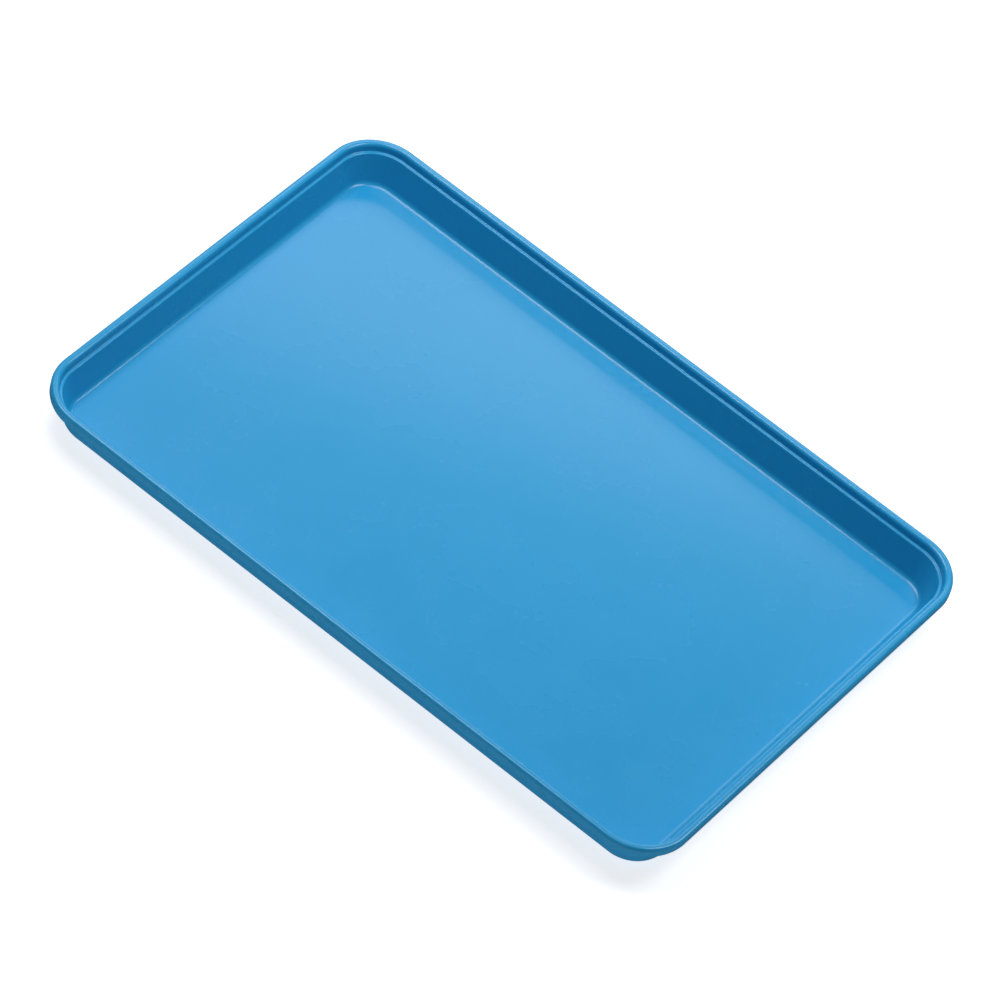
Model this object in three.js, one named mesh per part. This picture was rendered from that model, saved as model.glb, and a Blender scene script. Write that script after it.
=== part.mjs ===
// One-piece moulded display tray: a shallow rectangular tray with round corners, a solid
// flat-topped rim, a small stacking ledge inside it and steep drafted walls round a flat floor.
// Millimetres, +Z up, +X along the long side. The origin is the middle of the underside.
import * as THREE from 'three';
import { mergeVertices } from 'three/addons/utils/BufferGeometryUtils.js';

// Overall size, measured over the rim.
const LENGTH = 451;
const WIDTH = 305;
const HEIGHT = 28;
const CORNER_RADIUS = 32;

// Wall and floor.
const WALL_THICKNESS = 2.8;
const WALL_DRAFT = THREE.MathUtils.degToRad(17);
const FLOOR_FILLET = 3.8;
const BASE_ROUND = 7.5;
const FLAT_MARGIN = 7;

// Rim and stacking ledge. Insets are measured inwards from the rim's outer face.
const RIM_DEPTH = 6.2;
const RIM_OUTER_ROUND = 1.8;
const RIM_INNER_ROUND = 2.4;
const RIM_LIP_ROUND = 0.6;
const UNDERSIDE_FILLET = 1;
const RIM_INNER_INSET = 4.8;
const LEDGE_DROP = 5.2;
const LEDGE_INSET = 5.5;
const LEDGE_WIDTH = 1.8;
const LEDGE_FILLET = 0.7;
const LEDGE_ROUND = 1;

// Fineness of the facets.
const CORNER_SEGMENTS = 8;
const FACET_ANGLE = THREE.MathUtils.degToRad(15);

const ledgeHeight = HEIGHT - LEDGE_DROP;
const rimUnderside = HEIGHT - RIM_DEPTH;
const ledgeEdgeInset = LEDGE_INSET + LEDGE_WIDTH;

// The drafted wall leans inwards as it goes down. Its outer face lies one thickness behind.
function innerWallInset(height) {
  return ledgeEdgeInset + (ledgeHeight - height) * Math.tan(WALL_DRAFT);
}

function outerWallInset(height) {
  return innerWallInset(height) - WALL_THICKNESS / Math.cos(WALL_DRAFT);
}

// The section through the wall, as the sharp corners of one line that runs from the underside,
// up the outside, over the rim and down to the floor. Each is an inset, a height and a radius.
function sectionCorners() {
  const baseInset = outerWallInset(0);
  const floorInset = innerWallInset(WALL_THICKNESS);
  return [
    [baseInset + FLAT_MARGIN, 0, 0],
    [baseInset, 0, BASE_ROUND],
    [outerWallInset(rimUnderside), rimUnderside, UNDERSIDE_FILLET],
    [0, rimUnderside, RIM_LIP_ROUND],
    [0, HEIGHT, RIM_OUTER_ROUND],
    [RIM_INNER_INSET, HEIGHT, RIM_INNER_ROUND],
    [LEDGE_INSET, ledgeHeight, LEDGE_FILLET],
    [ledgeEdgeInset, ledgeHeight, LEDGE_ROUND],
    [floorInset, WALL_THICKNESS, FLOOR_FILLET],
    [floorInset + FLAT_MARGIN, WALL_THICKNESS, 0],
  ];
}

// Replaces each sharp corner that has a radius by the arc that touches both its lines.
function roundOff(corners) {
  const points = corners.map(([inset, height]) => new THREE.Vector2(inset, height));
  const line = [points[0]];
  for (let i = 1; i < points.length - 1; i += 1) {
    const corner = points[i];
    const radius = corners[i][2];
    const back = points[i - 1].clone().sub(corner).normalize();
    const ahead = points[i + 1].clone().sub(corner).normalize();
    const halfAngle = Math.acos(back.dot(ahead)) / 2;
    const bisector = back.clone().add(ahead).normalize();
    const centre = corner.clone().addScaledVector(bisector, radius / Math.sin(halfAngle));
    const touch = corner.clone().addScaledVector(back, radius / Math.tan(halfAngle));
    const turn = (Math.PI - 2 * halfAngle) * Math.sign(ahead.cross(back));
    const steps = Math.max(2, Math.round(Math.abs(turn) / FACET_ANGLE));
    for (let step = 0; step <= steps; step += 1) {
      line.push(touch.clone().rotateAround(centre, (turn * step) / steps));
    }
  }
  line.push(points[points.length - 1]);
  return line;
}

// The outline over the rim: a rectangle with a quarter circle at each corner.
function rimOutline() {
  const halfCoreX = LENGTH / 2 - CORNER_RADIUS;
  const halfCoreY = WIDTH / 2 - CORNER_RADIUS;
  const quarter = Math.PI / 2;
  const centres = [
    [halfCoreX, halfCoreY],
    [-halfCoreX, halfCoreY],
    [-halfCoreX, -halfCoreY],
    [halfCoreX, -halfCoreY],
  ];
  const outline = new THREE.Shape();
  centres.forEach(([x, y], index) => {
    outline.absarc(x, y, CORNER_RADIUS, quarter * index, quarter * (index + 1), false);
  });
  outline.closePath();
  return outline;
}

// The tray is the outline extruded with one layer for each point of the section. Each layer is
// then moved to its point's height, and drawn in by its point's inset, square to the rim. The
// extrusion's first cap is the underside, and its last cap is the floor.
function trayGeometry() {
  const section = roundOff(sectionCorners());
  const layers = section.length - 1;
  const extrusion = new THREE.ExtrudeGeometry(rimOutline(), {
    depth: layers,
    steps: layers,
    bevelEnabled: false,
    curveSegments: CORNER_SEGMENTS / 2,
  });
  extrusion.deleteAttribute('normal');
  extrusion.deleteAttribute('uv');
  const geometry = mergeVertices(extrusion);

  const position = geometry.getAttribute('position');
  const halfCore = new THREE.Vector2(LENGTH / 2 - CORNER_RADIUS, WIDTH / 2 - CORNER_RADIUS);
  const point = new THREE.Vector2();
  const core = new THREE.Vector2();
  for (let i = 0; i < position.count; i += 1) {
    const { x: inset, y: height } = section[Math.round(position.getZ(i))];
    point.set(position.getX(i), position.getY(i));
    core.copy(point).clamp(halfCore.clone().negate(), halfCore);
    point.sub(core).multiplyScalar(1 - inset / CORNER_RADIUS).add(core);
    position.setXYZ(i, point.x, point.y, height);
  }
  geometry.computeVertexNormals();
  return geometry;
}

const mouldedBlue = new THREE.MeshStandardMaterial({
  color: 0x3e9fd6,
  roughness: 0.35,
  metalness: 0,
});

const tray = new THREE.Mesh(trayGeometry(), mouldedBlue);
tray.name = 'tray';

const displayTray = new THREE.Group();
displayTray.add(tray);

export default displayTray;
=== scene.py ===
"""A shallow one-piece display tray in moulded blue plastic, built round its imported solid."""

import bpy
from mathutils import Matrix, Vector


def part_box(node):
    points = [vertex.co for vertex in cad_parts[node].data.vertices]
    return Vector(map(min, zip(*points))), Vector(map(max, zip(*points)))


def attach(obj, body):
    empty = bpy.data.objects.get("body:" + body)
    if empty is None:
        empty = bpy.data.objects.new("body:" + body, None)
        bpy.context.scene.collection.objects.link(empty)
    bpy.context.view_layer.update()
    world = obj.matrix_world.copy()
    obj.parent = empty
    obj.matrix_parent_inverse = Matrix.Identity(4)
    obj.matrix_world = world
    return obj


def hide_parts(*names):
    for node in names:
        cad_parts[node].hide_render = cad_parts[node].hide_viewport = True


bl_info = {
    "name": "Moulded display tray",
    "version": (1, 0, 0),
    "blender": (4, 5, 0),
    "location": "3D View > Sidebar > Display tray",
    "description": "Moulds a shallow display tray and sets up a plain studio round it",
    "category": "Object",
}

from math import ceil, cos, pi, radians, sin, tan

import bmesh
import bpy
from bpy.props import FloatProperty, FloatVectorProperty, IntProperty, PointerProperty
from mathutils import Matrix, Vector

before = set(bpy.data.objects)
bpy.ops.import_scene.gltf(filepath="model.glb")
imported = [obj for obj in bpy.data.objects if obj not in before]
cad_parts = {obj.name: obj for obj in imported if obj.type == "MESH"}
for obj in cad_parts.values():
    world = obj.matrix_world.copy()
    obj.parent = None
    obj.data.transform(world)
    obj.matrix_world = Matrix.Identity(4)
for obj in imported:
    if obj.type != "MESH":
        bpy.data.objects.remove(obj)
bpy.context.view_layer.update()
TRAY_LOW, TRAY_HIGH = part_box("tray")

MM = 0.001
PIECE_NAME = "moulded_tray"
WEAR_ATTRIBUTE = "edge_wear"
WHITE = (1.0, 1.0, 1.0, 1.0)
PLASTIC_IOR = 1.5

# Each set of stray scratches: its turn about the upright in radians, the width, length and depth
# of its streaks in metres, and the level of the noise above which a scratch shows.
SCRATCH_SETS = (
    (0.35, (0.0004, 0.05, 0.05), 0.74),
    (1.45, (0.0003, 0.035, 0.05), 0.75),
    (2.50, (0.0004, 0.06, 0.05), 0.76),
)
SCRATCH_SOFTNESS = 0.03

# Wear one step away from an edge, as a share of the wear on it.
WEAR_BESIDE_EDGE = 1 / 3

SENSOR_WIDTH_MM = 36.0
CLIP_DISTANCE = 100.0


# ---------------------------------------------------------------- sizes and colours

def length(name, millimetres, description):
    """A property for a distance, given in millimetres and kept in metres."""
    return FloatProperty(
        name=name, description=description, default=millimetres * MM, min=0.0,
        precision=5, subtype="DISTANCE", unit="LENGTH",
    )


def angle(name, degrees, description):
    """A property for an angle, given in degrees and kept in radians."""
    return FloatProperty(
        name=name, description=description, default=radians(degrees), subtype="ANGLE", unit="ROTATION",
    )


def share(name, value, description):
    """A property for a share between nothing and the whole."""
    return FloatProperty(
        name=name, description=description, default=value, min=0.0, max=1.0, subtype="FACTOR",
    )


def colour(name, value, description):
    return FloatVectorProperty(
        name=name, description=description, default=value, size=3, min=0.0, max=1.0, subtype="COLOR",
    )


def place(name, value, description):
    """A property for a point, in metres."""
    return FloatVectorProperty(
        name=name, description=description, default=value, subtype="TRANSLATION", unit="LENGTH",
    )


def direction(name, value, description):
    return FloatVectorProperty(name=name, description=description, default=value, subtype="DIRECTION")


def extent(name, millimetres, description):
    """A property for the two sides of a rectangle, given in millimetres and kept in metres."""
    sides = [side * MM for side in millimetres]
    return FloatVectorProperty(name=name, description=description, default=sides, size=2, unit="LENGTH")


def power(name, watts, description):
    return FloatProperty(name=name, description=description, default=watts, min=0.0, unit="POWER")


def frequency(name, per_metre, description):
    """A property for how fine a pattern is, as the number of its cells in a metre."""
    return FloatProperty(name=name, description=description, default=per_metre, min=0.0)


class TraySizes(bpy.types.PropertyGroup):
    """The tray's section. Insets are measured inwards from the outer face of the rim."""

    corner_radius: length("Corner radius", 32, "Radius of the outline's corners, over the rim")
    wall_thickness: length("Wall thickness", 2.8, "Thickness of the wall and the floor")
    wall_draft: angle("Wall draft", 17, "Lean of the wall from upright")
    floor_fillet: length("Floor fillet", 3.8, "Inside radius where the wall meets the floor")
    base_round: length("Base round", 7.5, "Outside radius where the wall meets the underside")
    flat_margin: length("Flat margin", 7, "Even strip kept round the edge of the floor and the underside")
    rim_depth: length("Rim depth", 6.2, "Height of the rim's outer face")
    rim_outer_round: length("Rim outer round", 1.8, "Radius along the rim's outer top edge")
    rim_inner_round: length("Rim inner round", 2.4, "Radius along the rim's inner top edge")
    rim_lip_round: length("Rim lip round", 0.6, "Radius along the rim's lower edge")
    underside_fillet: length("Rim underside fillet", 1, "Radius where the rim's underside meets the wall")
    rim_inner_inset: length("Rim width", 4.8, "Inset of the rim's inner top edge")
    ledge_drop: length("Ledge drop", 5.2, "Depth of the stacking ledge below the rim")
    ledge_inset: length("Ledge inset", 5.5, "Inset of the ledge's foot")
    ledge_width: length("Ledge width", 1.8, "Width of the stacking ledge")
    ledge_fillet: length("Ledge fillet", 0.7, "Radius at the ledge's foot")
    ledge_round: length("Ledge round", 1, "Radius along the ledge's edge")
    loop_spacing: length("Loop spacing", 1.2, "Longest step along the section")
    side_spacing: length("Side spacing", 14, "Longest step along a straight side")
    facet_angle: angle("Facet angle", 6, "Largest turn between neighbouring faces along the section")
    corner_segments: IntProperty(
        name="Corner segments", description="Steps round each corner", default=28, min=4,
    )


class TrayFinish(bpy.types.PropertyGroup):
    """The moulded plastic: its colour, gloss, grain and wear."""

    body_colour: colour("Body colour", (0.016, 0.310, 0.618), "Colour of the moulding")
    deep_colour: colour("Deep colour", (0.015, 0.305, 0.610), "Colour of the darker clouds in the moulding")
    worn_colour: colour("Worn colour", (0.045, 0.355, 0.670), "Colour of rubbed edges and hairline scratches")
    roughness: share("Roughness", 0.27, "Roughness of the clean surface")
    roughness_spread: share("Roughness spread", 0.04, "How far the roughness wanders over the surface")
    specular_level: share("Specular level", 0.3, "Strength of the broad surface reflection")
    skin_gloss: share("Skin gloss", 0.35, "Strength of the resin skin's narrow reflection")
    skin_roughness: share("Skin roughness", 0.13, "Roughness of the resin skin")
    touch_strength: share("Touch strength", 0.09, "Strength of the rubbed edges and the hairline scratches")
    touch_dullness: share("Touch dullness", 0.35, "Roughness that a fully rubbed spot gains")
    cloud_scale: frequency("Cloud scale", 28, "Darker clouds in each metre")
    haze_scale: frequency("Haze scale", 14, "Duller areas in each metre")
    rub_scale: frequency("Rub scale", 90, "Rubbed patches in each metre of an edge")
    ripple_scale: frequency("Ripple scale", 260, "Ripples of the skin in each metre")
    grain_scale: frequency("Grain scale", 1100, "Grains of the skin in each metre")
    grain_height: length("Grain height", 0.006, "Height of the fine moulded grain")
    scratch_depth: share("Scratch depth", 0.6, "Depth of a scratch as a share of the grain's height")


class StudioLook(bpy.types.PropertyGroup):
    """The floor, the lights and the camera."""

    floor_colour: colour("Floor colour", (0.50, 0.50, 0.50), "Colour of the studio floor")
    floor_glow: share("Floor glow", 0.78, "Light that the floor gives off by itself")
    floor_radius: length("Floor radius", 12000, "Radius of the round studio floor")
    floor_sides: IntProperty(name="Floor sides", description="Sides of the round floor", default=96, min=3)
    floor_gap: length("Floor gap", 0.2, "Gap that keeps the floor clear of the tray's underside")
    sky_level: share("Sky level", 0.03, "Brightness of the even light from all round")
    backdrop_level: share("Backdrop level", 0.7, "Brightness of the backdrop behind the tray")
    backdrop_focus: FloatProperty(
        name="Backdrop focus", description="How closely the backdrop gathers round its middle",
        default=6.0, min=0.0,
    )
    backdrop_side: direction("Backdrop side", (-0.60, 0.80, 0.10), "Direction to the brightest backdrop")
    overhead_power: power("Overhead power", 6.4, "Power of the softbox over the tray")
    overhead_size: extent("Overhead size", (560, 640), "Sides of that softbox")
    overhead_place: place("Overhead place", (-0.38, 0.05, 0.90), "Its place from the tray's middle")
    side_power: power("Side power", 4.7, "Power of the softbox behind the tray's right")
    side_size: extent("Side size", (450, 450), "Sides of that softbox")
    side_place: place("Side place", (0.36, 0.36, 0.88), "Its place from the tray's middle")
    back_power: power("Back power", 2.8, "Power of the softbox behind the tray")
    back_size: extent("Back size", (900, 400), "Sides of that softbox")
    back_place: place("Back place", (-0.44, 1.04, 0.90), "Its place from the tray's middle")
    lens: FloatProperty(
        name="Lens", description="Focal length in millimetres", default=229.9, min=1.0,
        subtype="DISTANCE_CAMERA", unit="CAMERA",
    )
    view_distance: length("View distance", 3591, "Distance from the camera to its aim")
    view_azimuth: angle("View azimuth", 25.44, "Turn of the view round the tray, from straight in front")
    view_elevation: angle("View elevation", 48.89, "Height of the view above the floor")
    view_roll: angle("View roll", 17.56, "Turn of the camera about its line of sight")
    aim_offset: place("Aim offset", (0.0015, -0.0016, -0.0013), "The camera's aim from the tray's middle")


# ---------------------------------------------------------------- the tray's shape

class SectionPoint:
    """One point of the section: how far in from the rim's face, how high, and how exposed to wear."""

    def __init__(self, inset, height, wear):
        self.inset = inset
        self.height = height
        self.wear = wear


def section_corners(sizes, height):
    """The section's sharp corners, from the underside round the rim to the floor.

    Each is (inset, height, radius, wear).
    """
    ledge_height = height - sizes.ledge_drop
    rim_underside = height - sizes.rim_depth
    ledge_edge = sizes.ledge_inset + sizes.ledge_width
    wall_run = sizes.wall_thickness / cos(sizes.wall_draft)

    def inner_wall(level):
        return ledge_edge + (ledge_height - level) * tan(sizes.wall_draft)

    def outer_wall(level):
        return inner_wall(level) - wall_run

    base_inset = outer_wall(0.0)
    floor_inset = inner_wall(sizes.wall_thickness)
    return [
        (base_inset + sizes.flat_margin, 0.0, 0.0, 0.0),
        (base_inset, 0.0, sizes.base_round, 0.6),
        (outer_wall(rim_underside), rim_underside, sizes.underside_fillet, 0.0),
        (0.0, rim_underside, sizes.rim_lip_round, 0.8),
        (0.0, height, sizes.rim_outer_round, 1.0),
        (sizes.rim_inner_inset, height, sizes.rim_inner_round, 0.7),
        (sizes.ledge_inset, ledge_height, sizes.ledge_fillet, 0.0),
        (ledge_edge, ledge_height, sizes.ledge_round, 0.5),
        (floor_inset, sizes.wall_thickness, sizes.floor_fillet, 0.0),
        (floor_inset + sizes.flat_margin, sizes.wall_thickness, 0.0, 0.0),
    ]


def straight_stretch(start, end, start_wear, end_wear, spacing):
    """Points between two ends, both left out. Wear fades within one step of an end."""
    steps = max(3, ceil((end - start).length / spacing))
    points = []
    for step in range(1, steps):
        spot = start.lerp(end, step / steps)
        points.append(SectionPoint(spot.x, spot.y, 0.0))
    points[0].wear = start_wear * WEAR_BESIDE_EDGE
    points[-1].wear = end_wear * WEAR_BESIDE_EDGE
    return points


def section_line(sizes, height):
    """The section with each corner rounded off by the arc that touches both its sides."""
    corners = section_corners(sizes, height)
    spots = [Vector((inset, level)) for inset, level, _, _ in corners]
    line = [SectionPoint(spots[0].x, spots[0].y, 0.0)]
    last_touch, last_wear = spots[0], 0.0
    for number in range(1, len(corners) - 1):
        spot = spots[number]
        _, _, radius, wear = corners[number]
        back = (spots[number - 1] - spot).normalized()
        ahead = (spots[number + 1] - spot).normalized()
        half = back.angle(ahead) / 2
        centre = spot + (back + ahead).normalized() * (radius / sin(half))
        touch = spot + back * (radius / tan(half))
        line += straight_stretch(last_touch, touch, last_wear, wear, sizes.loop_spacing)
        turn = pi - 2 * half
        if back.x * ahead.y - back.y * ahead.x > 0:
            turn = -turn
        steps = max(3, ceil(abs(turn) / sizes.facet_angle))
        for step in range(steps + 1):
            spin = Matrix.Rotation(turn * step / steps, 2)
            point = centre + spin @ (touch - centre)
            line.append(SectionPoint(point.x, point.y, wear))
        last_touch, last_wear = point, wear
    end = spots[-1]
    line += straight_stretch(last_touch, end, last_wear, 0.0, sizes.loop_spacing)
    line.append(SectionPoint(end.x, end.y, 0.0))
    return line


class Outline:
    """The rim's outline: a core rectangle, whose edge is pushed out by the corner radius."""

    def __init__(self, sizes, low, high):
        radius = sizes.corner_radius
        self.radius = radius
        self.low = Vector((low.x + radius, low.y + radius))
        self.high = Vector((high.x - radius, high.y - radius))
        side = self.high - self.low
        self.columns = ceil(side.x / sizes.side_spacing)
        self.rows = ceil(side.y / sizes.side_spacing)
        self.stations = self.make_stations(sizes.corner_segments)

    def core_point(self, column, row):
        """A point of the grid over the core rectangle."""
        side = self.high - self.low
        across = side.x * column / self.columns
        along = side.y * row / self.rows
        return self.low + Vector((across, along))

    def make_stations(self, segments):
        """(column, row, outward direction) round the outline, anticlockwise from the +X side."""
        columns, rows = self.columns, self.rows
        corners = [(columns, rows), (0, rows), (0, 0), (columns, 0)]
        sides = [
            [(column, rows) for column in range(columns - 1, 0, -1)],
            [(0, row) for row in range(rows - 1, 0, -1)],
            [(column, 0) for column in range(1, columns)],
            [(columns, row) for row in range(1, rows)],
        ]
        stations = []
        for number, (corner, side) in enumerate(zip(corners, sides)):
            for step in range(segments + 1):
                turn = pi / 2 * (number + step / segments)
                stations.append((*corner, Vector((cos(turn), sin(turn)))))
            square = Vector((round(cos(turn)), round(sin(turn))))
            stations += [(*core, square) for core in side]
        return stations

    def point_at(self, station, inset, height):
        """The point at a station, drawn in from the rim's face by the inset."""
        column, row, outward = station
        point = self.core_point(column, row) + outward * (self.radius - inset)
        return Vector((point.x, point.y, height))


def add_ring(body, outline, point, wear_layer):
    """One closed loop of vertices at a point of the section."""
    ring = []
    for station in outline.stations:
        vertex = body.verts.new(outline.point_at(station, point.inset, point.height))
        vertex[wear_layer] = point.wear
        ring.append(vertex)
    return ring


def join_rings(body, lower, upper):
    """One band of faces between two neighbouring loops."""
    for number, vertex in enumerate(lower):
        following = (number + 1) % len(lower)
        body.faces.new((vertex, lower[following], upper[following], upper[number]))


def fill_flat(body, outline, ring, height):
    """Fills a ring with a grid over the core, and fans of faces out to the ring."""
    grid = {}
    for column in range(outline.columns + 1):
        for row in range(outline.rows + 1):
            point = outline.core_point(column, row)
            grid[column, row] = body.verts.new((point.x, point.y, height))
    for column in range(outline.columns):
        for row in range(outline.rows):
            cell = [(column, row), (column + 1, row), (column + 1, row + 1), (column, row + 1)]
            body.faces.new([grid[key] for key in cell])
    cores = [grid[station[:2]] for station in outline.stations]
    for number, vertex in enumerate(ring):
        following = (number + 1) % len(ring)
        corners = [vertex, ring[following], cores[following]]
        if cores[number] is not cores[following]:
            corners.append(cores[number])
        body.faces.new(corners)


def tray_mesh(sizes, low, high):
    """The whole moulding as one closed skin."""
    line = section_line(sizes, high.z - low.z)
    outline = Outline(sizes, low, high)
    body = bmesh.new()
    wear_layer = body.verts.layers.float.new(WEAR_ATTRIBUTE)
    rings = [add_ring(body, outline, point, wear_layer) for point in line]
    for lower, upper in zip(rings, rings[1:]):
        join_rings(body, lower, upper)
    fill_flat(body, outline, rings[0], line[0].height)
    fill_flat(body, outline, rings[-1], line[-1].height)
    bmesh.ops.recalc_face_normals(body, faces=body.faces)
    bmesh.ops.translate(body, verts=body.verts, vec=(0.0, 0.0, low.z))
    for face in body.faces:
        face.smooth = True
    mesh = bpy.data.meshes.new(PIECE_NAME)
    body.to_mesh(mesh)
    body.free()
    return mesh


# ---------------------------------------------------------------- the moulded plastic

def add_node(tree, kind, inputs=None, **settings):
    """Adds a node, with its settings, and its inputs either filled or linked."""
    node = tree.nodes.new(kind)
    for name, value in settings.items():
        setattr(node, name, value)
    for name, value in (inputs or {}).items():
        if isinstance(value, bpy.types.NodeSocket):
            tree.links.new(value, node.inputs[name])
        else:
            node.inputs[name].default_value = value
    return node


def blank_tree(owner):
    """Turns on the nodes of a material or a world, and clears them."""
    owner.use_nodes = True
    owner.node_tree.nodes.clear()
    return owner.node_tree


def noise(tree, position, scale, detail=2.0, roughness=0.5):
    inputs = {"Vector": position, "Scale": scale, "Detail": detail, "Roughness": roughness}
    return add_node(tree, "ShaderNodeTexNoise", inputs).outputs["Fac"]


def stretched(tree, position, turn, scale):
    """Coordinates turned about the upright and drawn out, for streaks."""
    inputs = {"Vector": position, "Rotation": (0.0, 0.0, turn), "Scale": scale}
    return add_node(tree, "ShaderNodeMapping", inputs, vector_type="TEXTURE").outputs["Vector"]


def ranged(tree, value, low, high, to_low=0.0, to_high=1.0):
    """Moves a value from one range to another, and stops it at the ends."""
    inputs = {"Value": value, "From Min": low, "From Max": high, "To Min": to_low, "To Max": to_high}
    return add_node(tree, "ShaderNodeMapRange", inputs).outputs["Result"]


def arithmetic(tree, operation, first, second, clamp=False):
    node = add_node(tree, "ShaderNodeMath", {0: first, 1: second}, operation=operation, use_clamp=clamp)
    return node.outputs["Value"]


def mixed_colour(tree, amount, first, second):
    """Blends from the first colour to the second as the amount rises."""
    node = add_node(tree, "ShaderNodeMix", data_type="RGBA")
    for name, value in (("Factor", amount), ("A", first), ("B", second)):
        socket = next(s for s in node.inputs if s.enabled and s.name == name)
        if isinstance(value, bpy.types.NodeSocket):
            tree.links.new(value, socket)
        else:
            socket.default_value = value
    return next(s for s in node.outputs if s.enabled)


def scratch_marks(tree, position):
    """Stray hairlines: the tops of noises drawn out into streaks along a few directions."""
    marks = 0.0
    for turn, scale, cut in SCRATCH_SETS:
        streaks = noise(tree, stretched(tree, position, turn, scale), 1.0, detail=1.0)
        lines = ranged(tree, streaks, cut, cut + SCRATCH_SOFTNESS)
        marks = arithmetic(tree, "MAXIMUM", marks, lines)
    return marks


def rubbed_marks(tree, finish, position):
    """Patches along the edges that hands and other trays rub."""
    exposed = add_node(tree, "ShaderNodeAttribute", attribute_name=WEAR_ATTRIBUTE).outputs["Fac"]
    patches = noise(tree, position, finish.rub_scale, detail=4.0, roughness=0.6)
    return arithmetic(tree, "MULTIPLY", exposed, ranged(tree, patches, 0.42, 0.66))


def clouded_tone(tree, finish, position):
    """The moulding's own colour, with faint darker clouds."""
    clouds = noise(tree, position, finish.cloud_scale, detail=3.0)
    deep, body = (*finish.deep_colour, 1.0), (*finish.body_colour, 1.0)
    return mixed_colour(tree, ranged(tree, clouds, 0.35, 0.65), deep, body)


def hazy_roughness(tree, finish, position, touched):
    """Roughness that wanders a little, and rises where the skin is rubbed or scratched."""
    haze = noise(tree, position, finish.haze_scale, detail=4.0, roughness=0.6)
    reach = finish.roughness_spread / 2
    clean = ranged(tree, haze, 0.3, 0.7, finish.roughness - reach, finish.roughness + reach)
    dulled = arithmetic(tree, "MULTIPLY", touched, finish.touch_dullness)
    return arithmetic(tree, "ADD", clean, dulled, clamp=True)


def grained_normal(tree, finish, position, scratches):
    """The normal of the fine moulded grain, with the scratches cut into it."""
    grain = noise(tree, position, finish.grain_scale)
    ripple = noise(tree, position, finish.ripple_scale, detail=1.0)
    cuts = arithmetic(tree, "MULTIPLY", scratches, finish.scratch_depth)
    relief = arithmetic(tree, "SUBTRACT", arithmetic(tree, "ADD", grain, ripple), cuts)
    inputs = {"Height": relief, "Distance": finish.grain_height, "Strength": 1.0}
    return add_node(tree, "ShaderNodeBump", inputs).outputs["Normal"]


def moulded_plastic(finish):
    """Semi-gloss plastic, coloured all through, with a fine grain, faint clouds and light wear."""
    material = bpy.data.materials.new("moulded_blue")
    tree = blank_tree(material)
    position = add_node(tree, "ShaderNodeTexCoord").outputs["Object"]
    scratches = scratch_marks(tree, position)
    marks = arithmetic(tree, "MAXIMUM", rubbed_marks(tree, finish, position), scratches)
    touched = arithmetic(tree, "MULTIPLY", marks, finish.touch_strength)
    tone = clouded_tone(tree, finish, position)
    surface = add_node(tree, "ShaderNodeBsdfPrincipled", {
        "Base Color": mixed_colour(tree, touched, tone, (*finish.worn_colour, 1.0)),
        "Roughness": hazy_roughness(tree, finish, position, touched),
        "Normal": grained_normal(tree, finish, position, scratches),
        "IOR": PLASTIC_IOR,
        "Specular IOR Level": finish.specular_level,
        "Coat Weight": finish.skin_gloss,
        "Coat Roughness": finish.skin_roughness,
        "Coat IOR": PLASTIC_IOR,
    })
    add_node(tree, "ShaderNodeOutputMaterial", {"Surface": surface.outputs["BSDF"]})
    return material


# ---------------------------------------------------------------- the studio

def discard(name):
    """Removes an object left by an earlier run."""
    if name in bpy.data.objects:
        bpy.data.objects.remove(bpy.data.objects[name])


def show(name, data):
    """Makes an object and puts it in the scene."""
    discard(name)
    made = bpy.data.objects.new(name, data)
    bpy.context.scene.collection.objects.link(made)
    return made


def floor_material(look):
    """A matt floor that glows a little, so that the tray's shadow on it stays faint."""
    material = bpy.data.materials.new("studio_floor")
    tree = blank_tree(material)
    surface = add_node(tree, "ShaderNodeBsdfPrincipled", {
        "Base Color": (*look.floor_colour, 1.0),
        "Roughness": 0.9,
        "Specular IOR Level": 0.0,
        "Emission Color": WHITE,
        "Emission Strength": look.floor_glow,
    })
    add_node(tree, "ShaderNodeOutputMaterial", {"Surface": surface.outputs["BSDF"]})
    return material


def lay_floor(look, level):
    """A wide round floor under the tray."""
    disc = bmesh.new()
    bmesh.ops.create_circle(disc, cap_ends=True, segments=look.floor_sides, radius=look.floor_radius)
    mesh = bpy.data.meshes.new("studio_floor")
    disc.to_mesh(mesh)
    disc.free()
    floor = show("studio_floor", mesh)
    floor.location.z = level - look.floor_gap
    mesh.materials.append(floor_material(look))
    floor.visible_glossy = False


def hang_softbox(name, middle, offset, sides, watts):
    """A rectangular soft light that faces the tray."""
    light = bpy.data.lights.new(name, "AREA")
    light.shape = "RECTANGLE"
    light.size, light.size_y = sides
    light.energy = watts
    lamp = show(name, light)
    lamp.location = middle + Vector(offset)
    lamp.rotation_euler = (middle - lamp.location).to_track_quat("-Z", "Y").to_euler()
    lamp.visible_camera = False


def fill_sky(look):
    """Faint even light, and a broad pale backdrop on the far side of the tray."""
    world = bpy.data.worlds.new("studio")
    tree = blank_tree(world)
    outward = add_node(tree, "ShaderNodeTexCoord").outputs["Generated"]
    side = Vector(look.backdrop_side).normalized()
    facing = add_node(tree, "ShaderNodeVectorMath", {0: outward, 1: side}, operation="DOT_PRODUCT")
    ahead = arithmetic(tree, "MAXIMUM", facing.outputs["Value"], 0.0)
    falloff = arithmetic(tree, "POWER", ahead, look.backdrop_focus)
    backdrop = arithmetic(tree, "MULTIPLY", falloff, look.backdrop_level)
    level = arithmetic(tree, "ADD", backdrop, look.sky_level)
    sky = add_node(tree, "ShaderNodeBackground", {"Color": WHITE, "Strength": level})
    add_node(tree, "ShaderNodeOutputWorld", {"Surface": sky.outputs["Background"]})
    bpy.context.scene.world = world


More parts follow.
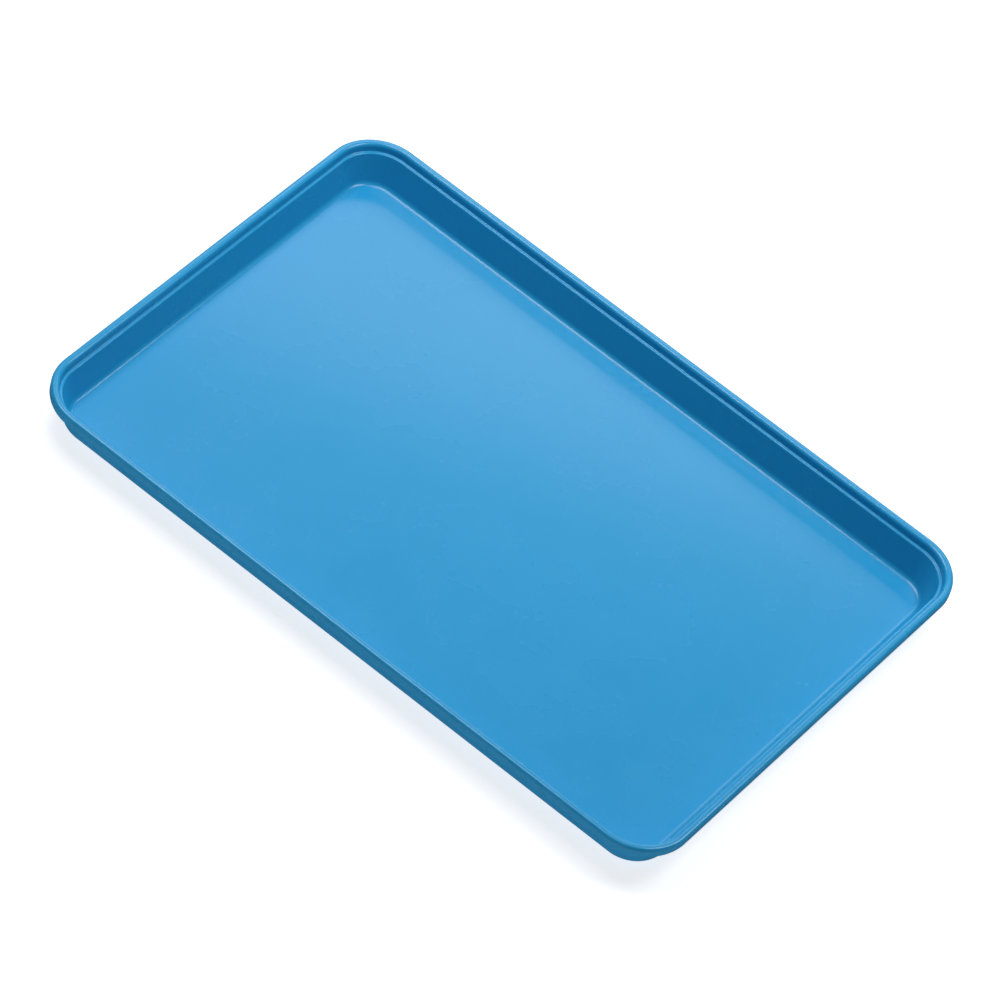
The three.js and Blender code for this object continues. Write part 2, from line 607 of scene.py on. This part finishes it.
def set_camera(look, middle):
    """The camera looks down on the tray from the front right, turned about its line of sight."""
    aim = middle + Vector(look.aim_offset)
    azimuth, elevation = look.view_azimuth, look.view_elevation
    back = Vector((sin(azimuth) * cos(elevation), -cos(azimuth) * cos(elevation), sin(elevation)))
    level = (-back).cross(Vector((0.0, 0.0, 1.0))).normalized()
    upright = level.cross(-back)
    across = level * cos(look.view_roll) + upright * sin(look.view_roll)
    up = upright * cos(look.view_roll) - level * sin(look.view_roll)
    camera = bpy.data.cameras.new("camera")
    camera.sensor_width = SENSOR_WIDTH_MM
    camera.lens = look.lens
    camera.clip_end = CLIP_DISTANCE
    eye = show("camera", camera)
    turn = Matrix((across, up, back)).transposed().to_4x4()
    eye.matrix_world = Matrix.Translation(aim + back * look.view_distance) @ turn
    bpy.context.scene.camera = eye


# ---------------------------------------------------------------- operators and panel

class DISPLAYTRAY_OT_mould(bpy.types.Operator):
    """Mould the tray as one closed skin and give it its plastic"""

    bl_idname = "displaytray.mould"
    bl_label = "Mould the tray"

    def execute(self, context):
        mesh = tray_mesh(context.scene.tray_sizes, TRAY_LOW, TRAY_HIGH)
        mesh.materials.append(moulded_plastic(context.scene.tray_finish))
        tray = show(PIECE_NAME, mesh)
        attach(tray, "root")
        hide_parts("tray")
        return {"FINISHED"}


class DISPLAYTRAY_OT_studio(bpy.types.Operator):
    """Lay the floor, hang the lights and set the camera"""

    bl_idname = "displaytray.studio"
    bl_label = "Set up the studio"

    def execute(self, context):
        look = context.scene.studio_look
        middle = (TRAY_LOW + TRAY_HIGH) / 2
        lay_floor(look, TRAY_LOW.z)
        hang_softbox("overhead_softbox", middle, look.overhead_place, look.overhead_size, look.overhead_power)
        hang_softbox("side_softbox", middle, look.side_place, look.side_size, look.side_power)
        hang_softbox("back_softbox", middle, look.back_place, look.back_size, look.back_power)
        fill_sky(look)
        set_camera(look, middle)
        context.scene.view_settings.view_transform = "Standard"
        return {"FINISHED"}


class DISPLAYTRAY_PT_panel(bpy.types.Panel):
    """Lists the tray's sizes, its finish and the studio"""

    bl_idname = "DISPLAYTRAY_PT_panel"
    bl_label = "Display tray"
    bl_space_type = "VIEW_3D"
    bl_region_type = "UI"
    bl_category = "Display tray"

    def draw(self, context):
        scene = context.scene
        groups = (
            (scene.tray_sizes, "displaytray.mould"),
            (scene.tray_finish, "displaytray.mould"),
            (scene.studio_look, "displaytray.studio"),
        )
        for settings, operator in groups:
            box = self.layout.box()
            for name in settings.bl_rna.properties.keys():
                if name not in ("rna_type", "name"):
                    box.prop(settings, name)
            box.operator(operator)


CLASSES = (
    TraySizes,
    TrayFinish,
    StudioLook,
    DISPLAYTRAY_OT_mould,
    DISPLAYTRAY_OT_studio,
    DISPLAYTRAY_PT_panel,
)


def register():
    for made in CLASSES:
        bpy.utils.register_class(made)
    bpy.types.Scene.tray_sizes = PointerProperty(type=TraySizes)
    bpy.types.Scene.tray_finish = PointerProperty(type=TrayFinish)
    bpy.types.Scene.studio_look = PointerProperty(type=StudioLook)


def unregister():
    del bpy.types.Scene.studio_look
    del bpy.types.Scene.tray_finish
    del bpy.types.Scene.tray_sizes
    for made in reversed(CLASSES):
        bpy.utils.unregister_class(made)


def main():
    """Builds everything."""
    register()
    bpy.ops.displaytray.mould()
    bpy.ops.displaytray.studio()


if __name__ == "__main__":
    main()
